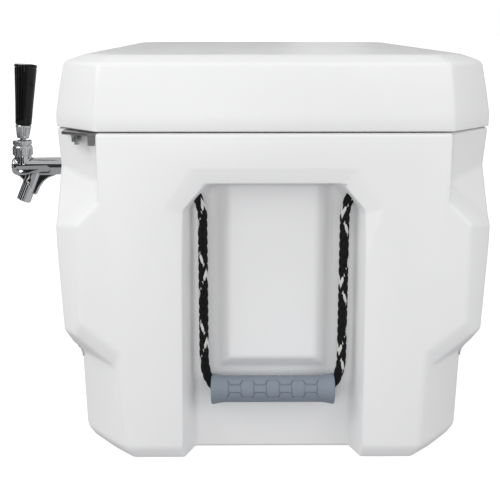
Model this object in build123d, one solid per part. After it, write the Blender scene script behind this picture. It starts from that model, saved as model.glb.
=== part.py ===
from build123d import *
import os
import math

# A faceted, insulated cooler chest fitted out as a jockey box: one beer tap on the front wall,
# a stainless chilling coil inside and a beer inlet through the back wall.
# Millimetres. X is the length, Y the depth with the front at -Y, Z up. The origin is the centre
# of the chest's base, on the surface that it stands on.

# ---- driving dimensions -------------------------------------------------------------------
LENGTH = 711.0            # chest, end face to end face
WIDTH = 457.0             # chest, front face to back face
RIM_Z = 355.6             # top of the chest's wall
LID_Z = 357.0             # lower edge of the lid
TOP_Z = 432.0             # flat top of the lid
SKIN = 4.0                # moulded wall thickness
HALF_L = LENGTH / 2
HALF_W = WIDTH / 2

BEND_Z = 236.0            # the side faces draw in below this height
LEDGE_Z = 120.0           # the lower body steps in under a ledge here
LEDGE_W = 222.5           # half width of the chest at the ledge
BASE_Z = 125.0            # top of the lower body block, inside the upper body
BEVEL_Z = 15.4            # bevel round the foot of the chest
BEVEL = 8.0

POCKET = 36.0             # depth of the handle pocket in each end
ROPE_R = 5.25             # handle rope
ROPE_Y = 73.9             # the rope's two legs, either side of the middle
ROPE_IN = 17.5            # the rope hangs this far inside the end face
PIVOT_Z = 282.0           # the handle swings about this height
GRIP_Z = 76.7
GRIP_HALF = 66.0

TUB_FLOOR = 70.0          # inside of the liner
TUB_TOP_X = 298.0
TUB_TOP_Y = 176.0
TUB_LOW_X = 288.0
TUB_LOW_Y = 166.0
LINER = 3.0
PLUG_Z = 343.0            # the lid's inner panel reaches down to here

HINGE_Y = HALF_W + 7.0
HINGE_X = 180.0
PIN_R = 2.5
RUN = 0.05                # running clearance on a radius
KNUCKLE_R = 6.5

LATCH_X = 190.0
LATCH_HALF = 32.0
LATCH_PIN_Y = -221.0
LATCH_PIN_Z = 388.0
RECESS = 15.0

TAP_Z = 270.5             # axis of the shank and the tap's barrel
SHANK_R = 11.0
LEVER_Y = -334.8
LEVER_Z = 296.0           # centre of the lever's ball
LEAN = 5.3                # the lever leans back by this many degrees

COIL_X = -180.0
COIL_R = 84.0
TUBE_R = 4.76
COIL_TURNS = 9
COIL_PITCH = 11.5
COIL_Z = 84.0

HOSE_R = 5.5
SHANK_END = 146.0         # the shanks' inner ends, from the middle of the chest
TAIL_END = 122.0
TAIL_R = 4.5
VALVE_R = 3.0
STEM = 48.0               # the lever's stem reaches this far up inside the knob
STEM_R = 3.9
KNOT_R = 9.5
STUB = 8.0                # the fixed end of the rope starts this far above the pivot

DRAIN_X = -341.5          # floor of the round well that the drain sits in
DRAIN_Y = 130.0
DRAIN_Z = 86.0
DRAIN_WELL_R = 21.0
SPIGOT_R = 13.9

RIM = 3.0                 # thickness of the liner's rim
HINGE_HALF = 30.0
MIDDLE = 11.7             # half length of the lid's knuckle
PLATE = 3.0               # thickness of the lock plates
BOLT_R = 2.5
SCREW_R = 2.0
HEAD_R = 4.0
THREAD_R = 10.7           # the inlet's free end, past its nut
SPOUT_R = 9.8
MOUTH_R = 9.6             # the spout's last few millimetres, which a hose slips over
MOUTH = 8.0


def box(x0, x1, y0, y1, z0, z1):
    """A box from its two opposite corners."""
    centre = ((x0 + x1) / 2, (y0 + y1) / 2, (z0 + z1) / 2)
    return Pos(*centre) * Box(x1 - x0, y1 - y0, z1 - z0)


def cut(solid, point, normal, inset=0.0):
    """Trim a solid by a plane, keeping what is behind it, with the plane moved in by inset."""
    direction = Vector(*normal).normalized()
    origin = Vector(*point) - direction * inset
    return split(solid, bisect_by=Plane(origin=origin, z_dir=direction), keep=Keep.BOTTOM)


def at_corner(sx, sy, depth, across, z):
    """A corner point given by its depth behind the end face and its distance from the middle."""
    return (sx * (HALF_L - depth), sy * across, z)


def normal_of(sx, sy, in_depth, across, up):
    """A corner plane's outward normal, from its depth, width and height components."""
    return (-sx * in_depth, sy * across, up)


def corners():
    return [(sx, sy) for sx in (-1, 1) for sy in (-1, 1)]


def prism(outline, plane, height):
    """A flat-sided outline pushed along its plane's normal."""
    return extrude(plane * make_face(Polyline(*outline, close=True)), amount=height)


def frustum(low, high, plane_low, plane_high):
    """A ruled solid between two outlines with the same number of corners."""
    faces = [plane_low * make_face(Polyline(*low, close=True))]
    faces.append(plane_high * make_face(Polyline(*high, close=True)))
    return loft(faces, ruled=True)


def rod(start, end, radius):
    """A round bar between two points."""
    axis = Vector(*end) - Vector(*start)
    return extrude(Plane(origin=start, z_dir=axis) * Circle(radius), amount=axis.length)


def tube_route(points, bend, radius):
    """A round tube along straight runs joined by tangent arcs."""
    path = FilletPolyline(*points, radius=bend)
    return sweep(Plane(origin=path @ 0, z_dir=path % 0) * Circle(radius), path=path)


# ---- the chest's outside form -------------------------------------------------------------
def base_outline(inset, grow):
    """Plan of the lower body: shallow facets at each corner, as corner points in order."""
    quarter = [(0, 162), (25, 185), (62, 213)]
    points = []
    for sx, sy, order in ((1, 1, 1), (-1, 1, -1), (-1, -1, 1), (1, -1, -1)):
        for depth, across in quarter[::order]:
            x, y, _ = at_corner(sx, sy, depth + inset, across - inset + grow, 0)
            points.append((x, y))
    return points


def lower_body(inset):
    sole = base_outline(inset + BEVEL, -3.0)
    knee = base_outline(inset, -3.0)
    crown = base_outline(inset, 0.0)
    foot = frustum(sole, knee, Plane.XY.offset(inset), Plane.XY.offset(BEVEL_Z))
    return foot + frustum(knee, crown, Plane.XY.offset(BEVEL_Z), Plane.XY.offset(BASE_Z))


def upper_body(inset):
    form = box(-HALF_L + inset, HALF_L - inset, -HALF_W + inset, HALF_W - inset, 60, RIM_Z)
    for sy in (-1, 1):
        fall = BEND_Z - LEDGE_Z
        form = cut(form, (0, sy * HALF_W, BEND_Z), (0, sy * fall, LEDGE_W - HALF_W), inset)
        form = cut(form, (0, sy * LEDGE_W, LEDGE_Z), (0, sy * 12.0, -8.5), inset)
    for sx, sy in corners():
        form = cut(form, at_corner(sx, sy, 0, 203, 0), normal_of(sx, sy, -1.02, 1, 0), inset)
        form = cut(form, at_corner(sx, sy, 0, 162.5, 123.8), normal_of(sx, sy, -0.915, 0.254, -0.313), inset)
        form = cut(form, at_corner(sx, sy, 8, 181.7, 116), normal_of(sx, sy, -0.449, 0.578, -0.681), inset)
    return form


def corner_notch(sx, sy, inset):
    """The space cut out of each upper corner: a leaning back wall over two sloping floors."""
    x0, x1 = sorted((sx * (HALF_L - 120), sx * (HALF_L + 20)))
    y0, y1 = sorted((sy * (180 - inset), sy * (HALF_W + 20)))
    space = box(x0, x1, y0, y1, 235, 400)
    back = normal_of(sx, sy, 0.675, -0.708, 0.21)
    slope = normal_of(sx, sy, 0.515, -0.593, -0.62)
    lower = normal_of(sx, sy, 0.686, -0.528, -0.501)
    space = cut(space, at_corner(sx, sy, 57, HALF_W, LID_Z), back, -inset)
    space = cut(space, at_corner(sx, sy, 27.4, 184, 302), slope, -inset)
    return cut(space, at_corner(sx, sy, 0, 157, 293), lower, -inset)


def pocket(sx, inset):
    """The open-bottomed handle pocket, with the shallow dished frame round it."""
    half = [(98, -20), (95, 276), (71, 304.5)]
    deep = [(86, -20), (82, 270), (62, 299)]
    dish = [(101, 120), (116, 280), (87, 323)]
    rim = [(97, 120), (95, 276), (71, 304.5)]

    def outline(points):
        right = [(y + inset, z + (inset if z > 0 else 0)) for y, z in points]
        return right + [(-y, z) for y, z in right[::-1]]

    def at(depth):
        return Plane(origin=(sx * (HALF_L - depth), 0, 0), x_dir=(0, 1, 0), z_dir=(1, 0, 0))

    well = frustum(outline(half), outline(deep), at(-0.5), at(POCKET + inset))
    return well + frustum(outline(dish), outline(rim), at(inset - 0.5), at(inset + 3.5))


def pocket_panel(sx):
    """The raised panel between the rope's two channels."""
    low = [(60, 96), (60, 301), (-60, 301), (-60, 96)]
    high = [(46, 110), (46, 301), (-46, 301), (-46, 110)]
    floor = Plane(origin=(sx * (HALF_L - POCKET), 0, 0), x_dir=(0, 1, 0), z_dir=(1, 0, 0))
    face = Plane(origin=(sx * (HALF_L - POCKET + 13), 0, 0), x_dir=(0, 1, 0), z_dir=(1, 0, 0))
    return frustum(low, high, floor, face)


def latch_recess(side, z0, z1, inset):
    x0 = side * LATCH_X - LATCH_HALF - inset
    x1 = side * LATCH_X + LATCH_HALF + inset
    return box(x0, x1, -HALF_W - 5, -HALF_W + RECESS + inset, z0, z1)


def chest_form(inset=0.0):
    form = upper_body(inset) + lower_body(inset)
    for sx, sy in corners():
        form -= corner_notch(sx, sy, inset)
    for sx in (-1, 1):
        form -= pocket(sx, inset)
    for side in (-1, 1):
        form -= latch_recess(side, 288 - inset, RIM_Z + 5, inset)
    floor_x = DRAIN_X + inset
    return form - rod((-HALF_L - 5, DRAIN_Y, DRAIN_Z), (floor_x, DRAIN_Y, DRAIN_Z), DRAIN_WELL_R + inset)


def rope_ways(sx, radius, start=0.0, end=46.0):
    """The two slanting holes that take the rope up into the pocket's corners."""
    holes = []
    for side in (-1, 1):
        foot, head = rope_line(sx, side, start), rope_line(sx, side, end)
        holes.append(rod(foot, head, radius))
    return holes


def rope_line(sx, side, along):
    """A point on the rope above its pivot, where it runs up and outwards into the wall."""
    tilt = math.radians(28.0)
    y = side * (ROPE_Y + along * math.sin(tilt))
    return (sx * (HALF_L - ROPE_IN), y, PIVOT_Z + along * math.cos(tilt))


def tub(grow):
    """The liner's inside space, or with grow its outside."""
    low = box_outline(TUB_LOW_X + grow, TUB_LOW_Y + grow)
    high = box_outline(TUB_TOP_X + grow, TUB_TOP_Y + grow)
    return frustum(low, high, Plane.XY.offset(TUB_FLOOR - grow), Plane.XY.offset(RIM_Z))


def box_outline(half_x, half_y):
    return [(half_x, half_y), (-half_x, half_y), (-half_x, -half_y), (half_x, -half_y)]


def slab(z0, z1):
    return box(-HALF_L, HALF_L, -HALF_W, HALF_W, z0, z1)


def wall_holes():
    """What passes through the chest's walls: the tap's shank, the inlet and the drain."""
    holes = [ring_solid(side, 100, HALF_W + 5, SHANK_R + 0.3) for side in (-1, 1)]
    holes.append(drain_solid(DRAIN_X - 1, -200, SPIGOT_R + 0.3))
    return holes


def body_shell(outside, inside):
    shell = outside - inside
    for sx in (-1, 1):
        shell += pocket_panel(sx)
        shell -= rope_ways(sx, ROPE_R + 0.4)
        shell -= lock_plate_seat(sx)
    shell -= wall_holes()
    return shell - screw_shanks(BODY_SCREWS) - screw_shanks(plate_screw_places())


def body_liner(inside):
    liner = tub(LINER) + (inside & slab(RIM_Z - RIM, RIM_Z)) - tub(0) - wall_holes()
    for sx in (-1, 1):
        liner -= lock_plate_seat(sx)
    return liner - screw_shanks(plate_screw_places())


def body_foam(inside):
    foam = (inside & slab(0, RIM_Z - RIM)) - tub(LINER) - wall_holes()
    for sx in (-1, 1):
        foam -= rope_ways(sx, ROPE_R)
        foam -= lock_plate_seat(sx)
        for side in (-1, 1):
            foam -= Pos(*rope_line(sx, side, 44)) * Sphere(KNOT_R)
    return foam - screw_shanks(BODY_SCREWS) - screw_shanks(plate_screw_places())


# ---- screws -------------------------------------------------------------------------------
def hinge_screw_places(z, length):
    """Each screw's point under its head, the way its head faces and how far its shank goes in."""
    across = [side * HINGE_X + off for side in (-1, 1) for off in (-20, 20)]
    return [((x, HALF_W + 3, z), (0, 1, 0), length) for x in across]


BODY_SCREWS = hinge_screw_places(332, 13)
LID_SCREWS = hinge_screw_places(381, 15)


def plate_screw_places():
    places = []
    for sx in (-1, 1):
        x, y, _ = at_corner(sx, -1, 9.5, 152, 0)
        places.append(((x, y, RIM_Z - 0.3), (0, 0, 1), 16))
    return places


def screw_shanks(places):
    shanks = []
    for point, out, length in places:
        start = Vector(*point)
        shanks.append(rod(start, start - Vector(*out) * length, SCREW_R))
    return shanks


def screws(places, dome):
    """Screws with low domed heads that rest on each point, with shanks running in from it."""
    group = []
    for (point, out, _), shank in zip(places, screw_shanks(places)):
        base, axis = Vector(*point), Vector(*out)
        if dome > 0:
            cap = loft([Plane(origin=base, z_dir=axis) * Circle(HEAD_R),
                        Plane(origin=base + axis * dome, z_dir=axis) * Circle(HEAD_R * 0.62)])
            shank += cap
        group.append(shank)
    return group


# ---- the lid ------------------------------------------------------------------------------
def lid_form(inset=0.0):
    form = box(-HALF_L + inset, HALF_L - inset, -HALF_W + inset, HALF_W - inset, LID_Z, TOP_Z - inset)
    bands = [((0, 371), (4.3, 396)), ((4.3, 396), (9.8, 424)), ((9.8, 424), (32, 432))]
    for (in0, z0), (in1, z1) in bands:
        rise, draw = z1 - z0, in1 - in0
        for side in (-1, 1):
            form = cut(form, (0, side * (HALF_W - in0), z0), (0, side * rise, draw), inset)
            form = cut(form, (side * (HALF_L - in0), 0, z0), (side * rise, 0, draw), inset)
        for sx, sy in corners():
            point = at_corner(sx, sy, 0, 180 - 1.35 * in0, z0)
            form = cut(form, point, normal_of(sx, sy, -0.668 * rise, 0.744 * rise, draw), inset)
    for sx, sy in corners():
        form = cut(form, at_corner(sx, sy, 0, 180, 0), normal_of(sx, sy, -0.668, 0.744, 0), inset)
    for side in (-1, 1):
        form -= latch_recess(side, LID_Z - 5, 403 + inset, inset)
    return form


def gasket_ring():
    outer = box(-306, 306, -184, 184, LID_Z - 1.1, LID_Z + 1.6)
    return outer - box(-299, 299, -177, 177, LID_Z - 5, LID_Z + 5)


def lid_shell(outside, inside):
    return outside - inside - [latch_pin(side) for side in (-1, 1)] - screw_shanks(LID_SCREWS)


def lid_liner(inside):
    """The panel that closes the lid from below, with its hollow plug into the tub's mouth."""
    def plug(shrink, z):
        foot = box_outline(TUB_TOP_X - 10 - shrink, TUB_TOP_Y - 10 - shrink)
        top = box_outline(TUB_TOP_X - 6 - shrink, TUB_TOP_Y - 6 - shrink)
        return frustum(foot, top, Plane.XY.offset(z), Plane.XY.offset(LID_Z + RIM))

    plate = inside & slab(LID_Z, LID_Z + RIM)
    return plate + plug(0, PLUG_Z) - plug(RIM, PLUG_Z + RIM) - gasket_ring()


def lid_foam(inside):
    foam = inside & slab(LID_Z + RIM, TOP_Z)
    return foam - [latch_pin(side) for side in (-1, 1)] - screw_shanks(LID_SCREWS)


# ---- hinges -------------------------------------------------------------------------------
def on_hinge(x0, x1, radius):
    return rod((x0, HINGE_Y, LID_Z), (x1, HINGE_Y, LID_Z), radius)


def hinge_body_leaf(side):
    x = side * HINGE_X
    leaf = box(x - HINGE_HALF, x + HINGE_HALF, HALF_W, HALF_W + 3, 316, 349)
    for end in (-1, 1):
        x0, x1 = sorted((x + end * 12, x + end * HINGE_HALF))
        leaf += on_hinge(x0, x1, KNUCKLE_R)
        leaf += box(x0, x1, HALF_W, HALF_W + 3, 345, LID_Z - 1.5)
    return leaf - on_hinge(x - 40, x + 40, PIN_R) - screw_shanks(BODY_SCREWS)


def hinge_lid_leaf(side, lid_outside):
    x = side * HINGE_X
    leaf = box(x - HINGE_HALF, x + HINGE_HALF, HALF_W - 8, HALF_W + 3, 365, 395) - lid_outside
    leaf += box(x - MIDDLE, x + MIDDLE, HALF_W + 0.2, HALF_W + 3, LID_Z, 366)
    leaf += on_hinge(x - MIDDLE, x + MIDDLE, KNUCKLE_R)
    return leaf - on_hinge(x - 40, x + 40, PIN_R + RUN) - screw_shanks(LID_SCREWS)


def hinge_pin(side):
    return on_hinge(side * HINGE_X - 31, side * HINGE_X + 31, PIN_R)


# ---- latches ------------------------------------------------------------------------------
def on_latch(x0, x1, radius):
    return rod((x0, LATCH_PIN_Y, LATCH_PIN_Z), (x1, LATCH_PIN_Y, LATCH_PIN_Z), radius)


def latch_strap(side):
    """The rubber strap, its eye round the pin, its pull bar and the ribs across its face."""
    x = side * LATCH_X
    strap = box(x - 24, x + 24, -225.5, -216.5, 300, LATCH_PIN_Z)
    strap += on_latch(x - 24, x + 24, 6.5)
    strap += box(x - 29, x + 29, -228, -218.5, 293, 307)
    for z in (318, 330, 342):
        strap += box(x - 16, x + 16, -227, -225, z, z + 5)
    return strap - on_latch(x - 40, x + 40, PIN_R + RUN)


def latch_pin(side):
    return on_latch(side * LATCH_X - 38, side * LATCH_X + 38, PIN_R)


def latch_keeper(side):
    """The plate in the chest's recess, with a guide rib each side of the strap."""
    x = side * LATCH_X
    floor = -HALF_W + RECESS
    keeper = box(x - 30, x + 30, floor - 2, floor, 300, 350)
    for end in (-1, 1):
        x0, x1 = sorted((x + end * 26, x + end * 29.5))
        keeper += box(x0, x1, floor - 4, floor, 312, 346)
    return keeper


# ---- lock plates on the front corners -----------------------------------------------------
def lock_plate_blank(sx, thickness):
    places = [(4, 131), (4, 188), (22, 217), (46, 217), (46, 200), (22, 172), (15, 131)]
    outline = [at_corner(sx, -1, depth, across, 0)[:2] for depth, across in places]
    return prism(outline, Plane.XY.offset(RIM_Z - PLATE - 0.3), thickness)


def lock_plate_seat(sx):
    return lock_plate_blank(sx, 8)


def lock_bolt_place(sx):
    x, y, _ = at_corner(sx, -1, 18, 201, 0)
    return Pos(x, y, RIM_Z - 0.3 - 13)


def lock_plate(sx):
    """A flat steel eye for a padlock that bridges the corner notch, with a turned-down tab."""
    x0, x1 = sorted((sx * (HALF_L - 4.2), sx * (HALF_L - 7.2)))
    plate = lock_plate_blank(sx, PLATE) + box(x0, x1, -188, -181.2, RIM_Z - 13, RIM_Z - PLATE)
    plate -= lock_bolt_place(sx) * Cylinder(BOLT_R, 40)
    return plate - screw_shanks(plate_screw_places())


def lock_bolt(sx):
    return lock_bolt_place(sx) * Cylinder(BOLT_R, 13, align=(Align.CENTER, Align.CENTER, Align.MIN))


def lock_nut(sx):
    nut = lock_bolt_place(sx) * Pos(0, 0, 3) * extrude(RegularPolygon(5.6, 6), amount=7 - 0.01)
    return nut - lock_bolt_place(sx) * Cylinder(BOLT_R, 40)


# ---- rope handles -------------------------------------------------------------------------
def handle_rope(sx):
    """One length of rope down each side and through the grip, as far up as the two pivots."""
    x = sx * (HALF_L - ROPE_IN)
    points = [(x, -ROPE_Y, PIVOT_Z), (x, -ROPE_Y, GRIP_Z), (x, ROPE_Y, GRIP_Z), (x, ROPE_Y, PIVOT_Z)]
    rope = tube_route(points, 7.5, ROPE_R)
    for side in (-1, 1):
        rope += Pos(x, side * ROPE_Y, PIVOT_Z) * Sphere(ROPE_R)
    return rope


def handle_grip(sx):
    """The moulded grip: a long waisted sleeve with a flared collar at each end."""
    bore, waist, flare = ROPE_R + 0.1, 14.3, 16.9
    right = [(50, waist), (58, waist + 0.8), (GRIP_HALF - 2, flare)]
    right += [(GRIP_HALF, flare - 1), (GRIP_HALF, bore)]
    outline = [(-along, radius) for along, radius in right[::-1]] + right
    sleeve = make_face(Polyline(*[(0, along, radius) for along, radius in outline], close=True))
    return Pos(sx * (HALF_L - ROPE_IN), 0, GRIP_Z) * revolve(sleeve, axis=Axis.Y)


def rope_anchors(sx):
    """The rope's ends above the pivots: a length through the wall and its knot."""
    anchors = []
    for side in (-1, 1):
        start, end = rope_line(sx, side, STUB), rope_line(sx, side, 40)
        anchors.append(rod(start, end, ROPE_R) + Pos(*rope_line(sx, side, 44)) * Sphere(KNOT_R))
    return anchors


# ---- fittings through the front and back walls --------------------------------------------
def ring_solid(side, y0, y1, radius):
    """A round bar on the level of the shanks, measured outwards from the chest's middle."""
    return rod((0, side * y0, TAP_Z), (0, side * y1, TAP_Z), radius)


def ring(side, y0, y1, outer, inner):
    return ring_solid(side, y0, y1, outer) - ring_solid(side, y0 - 1, y1 + 1, inner)


def hex_nut(side, y0, y1, flats, inner):
    plane = Plane(origin=(0, side * y0, TAP_Z), x_dir=(1, 0, 0), z_dir=(0, side, 0))
    nut = extrude(plane * RegularPolygon(flats / 2, 6, major_radius=False), amount=y1 - y0)
    return nut - ring_solid(side, y0 - 1, y1 + 1, inner)


def inner_wall_y():
    """Where the liner's side face is at the height of the shanks."""
    rise = (TAP_Z + 20 - TUB_FLOOR) / (RIM_Z - TUB_FLOOR)
    return TUB_LOW_Y + (TUB_TOP_Y - TUB_LOW_Y) * rise - 2.0


def beer_nut(side):
    """The hexagonal nut that holds the tailpiece against the shank's inner end."""
    nut = hex_nut(side, SHANK_END - 5.2, SHANK_END + 9, 26, SHANK_R)
    return nut + ring(side, SHANK_END - 5.2, SHANK_END - 3.2, 12, TAIL_R)


def tailpiece(side):
    piece = ring_solid(side, TAIL_END, SHANK_END, TAIL_R) + ring_solid(side, SHANK_END - 3, SHANK_END, 9.5)
    return piece - ring_solid(side, TAIL_END - 1, SHANK_END + 1, 3.0)


# ---- the tap ------------------------------------------------------------------------------
def tap_shank():
    shank = ring(-1, SHANK_END, 256, SHANK_R, 4.0)
    return shank + ring(-1, 256, 258, SHANK_R, 9.4)


def inlet_shank():
    """The bulkhead shank of the beer inlet, with a free threaded end outside its nut."""
    shank = ring_solid(1, SHANK_END, HALF_W + 9, SHANK_R) + ring_solid(1, HALF_W + 9, HALF_W + 22, THREAD_R)
    return shank - ring_solid(1, SHANK_END - 1, HALF_W + 30, 4.0)


def coupling_nut():
    """The slotted nut that draws the tap's flange up to the shank."""
    nut = ring(-1, 242, 266, 17.0, SHANK_R)
    nut -= ring_solid(-1, 257.8, 264.3, 15.0)
    nut -= ring_solid(-1, 264, 267, 12.0)
    for turn in range(6):
        nut -= Pos(0, -254, TAP_Z) * Rot(0, 60 * turn, 0) * Pos(17.5, 0, 0) * Box(4, 16, 5)
    return nut


def tap_body():
    """The tap's barrel, its neck, and the spout that branches down from it through a web."""
    barrel = ring_solid(-1, 264, 350, 11.75)
    barrel = chamfer(barrel.edges().sort_by(Axis.Y)[0], 3.0) + ring_solid(-1, 258.3, 264, 14.7)
    neck = rod((0, LEVER_Y, TAP_Z), (0, LEVER_Y, 286), 11.5)
    tip, root = Vector(0, -337.4, 222.8), Vector(0, -320, 263)
    arch = [(-292, 266), (-292, 259.2), (-303, 254), (-312, 244), (-320, 232)]
    arch += [(-338, 238), (-336, 249), (-341, 257), (-349, 261), (-349, 268)]
    web = extrude(make_face(Polyline(*[(0, y, z) for y, z in arch], close=True)), amount=8, both=True)
    mouth = tip + (root - tip).normalized() * MOUTH
    body = barrel + neck + rod(root, mouth, SPOUT_R) + rod(mouth, tip, MOUTH_R) + web
    body -= rod(root + (tip - root) * 0.2, tip + (tip - root) * 0.1, 6.6)
    body -= ring_solid(-1, 257, 276, 8.6)
    body -= ring_solid(-1, 257, 344, 6.2)
    body -= ring_solid(-1, 257, 360, VALVE_R + RUN)
    return body - upright(TAP_Z, 284, 9.4) - upright(284, 290, 8.0)


def upright(z0, z1, radius):
    return rod((0, LEVER_Y, z0), (0, LEVER_Y, z1), radius)


def tap_bonnet():
    """The two-stepped cap that holds the lever's ball down in the neck."""
    cap = upright(286, 298.6, 13.75) + upright(298.6, 300, 11.4)
    cap += chamfer(upright(300, 306, 12.8).edges().filter_by(GeomType.CIRCLE), 1.2)
    cap -= upright(280, LEVER_Z, 8.4)
    cap -= Pos(0, LEVER_Y, LEVER_Z) * Sphere(8.4)
    return cap - upright(LEVER_Z, 310, 6.7)


def ball_washer():
    return upright(289 - 2.2, 289 + 1.8, 7.8) - upright(280, 300, 5.4)


def lever_point(along):
    """A point on the lever's axis, above its ball's centre."""
    tilt = math.radians(LEAN)
    return (0, LEVER_Y + along * math.sin(tilt), LEVER_Z + along * math.cos(tilt))


def cone_on_lever(start, end, low, high):
    axis = Vector(*lever_point(1)) - Vector(*lever_point(0))
    low_end = Plane(origin=lever_point(start), z_dir=axis) * Circle(low)
    return loft([low_end, Plane(origin=lever_point(end), z_dir=axis) * Circle(high)])


def lever_rod():
    """The lever: a ball, a threaded stem for the knob, and an arm down into the valve rod."""
    lever = Pos(0, LEVER_Y, LEVER_Z) * Sphere(7.0) + rod(lever_point(0), lever_point(STEM), STEM_R)
    tip = (0, LEVER_Y, TAP_Z)
    return lever + rod((0, LEVER_Y, LEVER_Z), tip, 2.0) + Pos(*tip) * Sphere(2.4)


def lever_ferrule():
    return cone_on_lever(13.3, 31.2, 8.0, 10.0) - rod(lever_point(0), lever_point(STEM), STEM_R)


def tap_knob():
    knob = cone_on_lever(31.2, 109.6, 10.9, 15.0) + cone_on_lever(109.6, 113.0, 15.2, 14.6)
    return knob - rod(lever_point(0), lever_point(STEM), STEM_R)


def valve_rod():
    """The sliding rod: a guided stem, with a slotted block that the lever's arm moves."""
    stem = ring_solid(-1, 268, 347, VALVE_R) + ring_solid(-1, -LEVER_Y - 7.5, 343.6, 5.2)
    return stem - Pos(0, LEVER_Y, TAP_Z + 2.5) * Box(12, 8.8, 12)


# ---- the drain in the far end -------------------------------------------------------------
def drain_solid(x0, x1, radius):
    return rod((x0, DRAIN_Y, DRAIN_Z), (x1, DRAIN_Y, DRAIN_Z), radius)


def drain_spigot():
    spigot = drain_solid(DRAIN_X - 8, -280, SPIGOT_R) + drain_solid(DRAIN_X - 4.5, DRAIN_X - 1.5, 18)
    return spigot - drain_solid(DRAIN_X - 20, -200, 9.0)


def drain_gasket():
    return drain_solid(DRAIN_X - 1.5, DRAIN_X, 17.5) - drain_solid(DRAIN_X - 20, -200, SPIGOT_R)


def drain_nut():
    plane = Plane(origin=(-287.4, DRAIN_Y, DRAIN_Z), x_dir=(0, 1, 0), z_dir=(1, 0, 0))
    nut = extrude(plane * RegularPolygon(17.2, 6), amount=6)
    return nut - drain_solid(-300, -200, SPIGOT_R)


def drain_cap():
    """The screw cap over the spigot's outer end, with a bar across it to turn it by."""
    cap = drain_solid(DRAIN_X - 11, DRAIN_X - 4.8, 16.2)
    cap += box(DRAIN_X - 13.4, DRAIN_X - 10.5, DRAIN_Y - 13, DRAIN_Y + 13, DRAIN_Z - 3, DRAIN_Z + 3)
    return cap - drain_solid(DRAIN_X - 8.3, -300, SPIGOT_R + RUN)


# ---- inside the chest ---------------------------------------------------------------------
def chilling_coil():
    """The stainless coil, wound in level turns about an upright axis."""
    helix = Pos(COIL_X, 0, COIL_Z) * Helix(pitch=COIL_PITCH, height=COIL_PITCH * COIL_TURNS, radius=COIL_R)
    return sweep(Plane(origin=helix @ 0, z_dir=helix % 0) * Circle(TUBE_R), path=helix)


def coil_rack():
    """Two crossed bars on the tub's floor, with four posts inside the coil and a top hoop."""
    floor, top = TUB_FLOOR, COIL_Z + COIL_PITCH * COIL_TURNS + 12
    reach = COIL_R + 6
    bar_top = COIL_Z - TUBE_R - 0.6
    rack = box(-reach, reach, -6, 6, floor, bar_top) + box(-6, 6, -reach, reach, floor, bar_top)
    post = COIL_R - TUBE_R - 3.6
    for x, y in ((post, 0), (0, post), (-post, 0), (0, -post)):
        rack += rod((x, y, floor + 2), (x, y, top), 3.0)
    return Pos(COIL_X, 0, 0) * Rot(0, 0, 45) * (rack + Pos(0, 0, top) * Torus(post, 3.0))


def hose_routes():
    """The two beer lines: coil to tap, and inlet to coil."""
    start_x = COIL_X + COIL_R
    top = COIL_Z + COIL_PITCH * COIL_TURNS
    outlet = [(start_x, -0.5, COIL_Z), (start_x, -42, COIL_Z - 1), (-66, -84, 112), (-44, -98, 180)]
    outlet += [(-14, -88, 244), (0, -100, TAP_Z), (0, -TAIL_END, TAP_Z)]
    inlet = [(start_x, 0.5, top), (start_x, 38, top + 2), (-76, 68, 212), (-40, 80, 246), (0, 98, TAP_Z)]
    inlet += [(0, TAIL_END, TAP_Z)]
    return outlet, inlet


def hose(points):
    """A hose along straight runs joined by arcs as large as the runs allow."""
    route = [Vector(*point) for point in points]
    bends = []
    for before, here, after in zip(route, route[1:], route[2:]):
        turn = math.radians((here - before).get_angle(after - here))
        shorter = min((here - before).length, (after - here).length)
        bends.append(0.45 * shorter / math.tan(turn / 2))
    path = FilletPolyline(*points, radius=bends)
    tube = sweep(Plane(origin=path @ 0, z_dir=path % 0) * Circle(HOSE_R), path=path)
    ratio = tube.volume / (path.length * math.pi * HOSE_R**2)
    print("hose", round(path.length), "mm, volume ratio", round(ratio, 3))
    print("  arcs", [round(bend) for bend in bends])
    return tube


def hose_clamps(routes):
    """A band clamp near each end of both hoses."""
    clamps = []
    for points in routes:
        for start, along in ((points[0], points[1]), (points[-1], points[-2])):
            axis = (Vector(*along) - Vector(*start)).normalized()
            base = Vector(*start) + axis * 3
            band = rod(base, base + axis * 6, HOSE_R + 1.2)
            clamps.append(band - rod(base - axis, base + axis * 8, HOSE_R))
    return clamps


# ---- the nodes ----------------------------------------------------------------------------
def both(make, *args):
    """The same piece made for each side, as one group."""
    return [make(side, *args) for side in (-1, 1)]


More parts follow.
